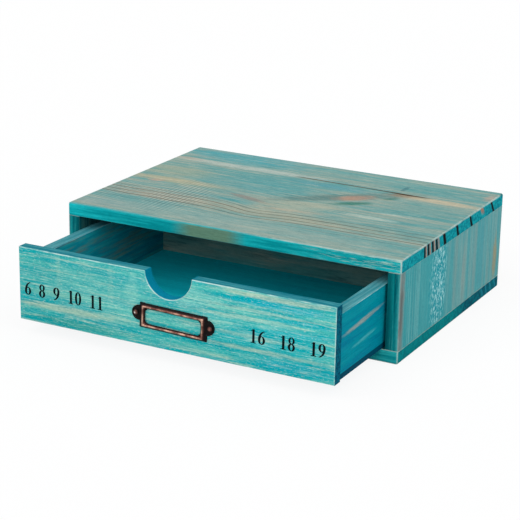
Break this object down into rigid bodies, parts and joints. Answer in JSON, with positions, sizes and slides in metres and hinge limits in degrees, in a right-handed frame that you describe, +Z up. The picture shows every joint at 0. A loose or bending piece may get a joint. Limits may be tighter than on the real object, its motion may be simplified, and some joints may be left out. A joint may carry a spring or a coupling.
{
  "type": "storage box with drawer",
  "caption": "Low wooden case with a shallow sliding drawer for small buttons, with a half-round finger notch and a framed label holder.",
  "frame": {"origin": "centre of the case's underside, with the drawer's travel not counted", "axes": "+X to the right seen from the front, +Y from the front to the back, +Z up; the drawer pulls out along -Y"},
  "size_m": [0.25, 0.2542, 0.07],
  "materials": {
    "stained_pine": "teal stain worn thin over open grain, matt",
    "stained_drawer_pine": "teal stain over pine, matt",
    "stained_plywood": "thin plywood, dark teal stain, matt",
    "dowel_beech": "bare beech",
    "steel_brad": "bright drawn wire",
    "antique_copper": "copper plated steel, darkened in the recesses and rubbed bright on the ridges"
  },
  "bodies": {
    "case": {"top_board": "stained_pine", "bottom_board": "stained_pine", "left_side": "stained_pine", "right_side": "stained_pine", "back_panel": "stained_plywood", "top_dowels": "dowel_beech", "bottom_dowels": "dowel_beech", "back_panel_brads": "steel_brad"},
    "drawer": {"drawer_front": "stained_drawer_pine", "drawer_left_side": "stained_drawer_pine", "drawer_right_side": "stained_drawer_pine", "drawer_back": "stained_drawer_pine", "drawer_floor": "stained_plywood", "drawer_front_dowels": "dowel_beech", "drawer_back_brads": "steel_brad", "drawer_floor_brads": "steel_brad", "label_holder": "antique_copper", "label_pins": "antique_copper"}
  },
  "joints": [
    {"name": "drawer_slide", "type": "slide", "parent": "case", "child": "drawer", "axis": [0, -1, 0], "range_m": [-0.072, 0.078]}
  ]
}
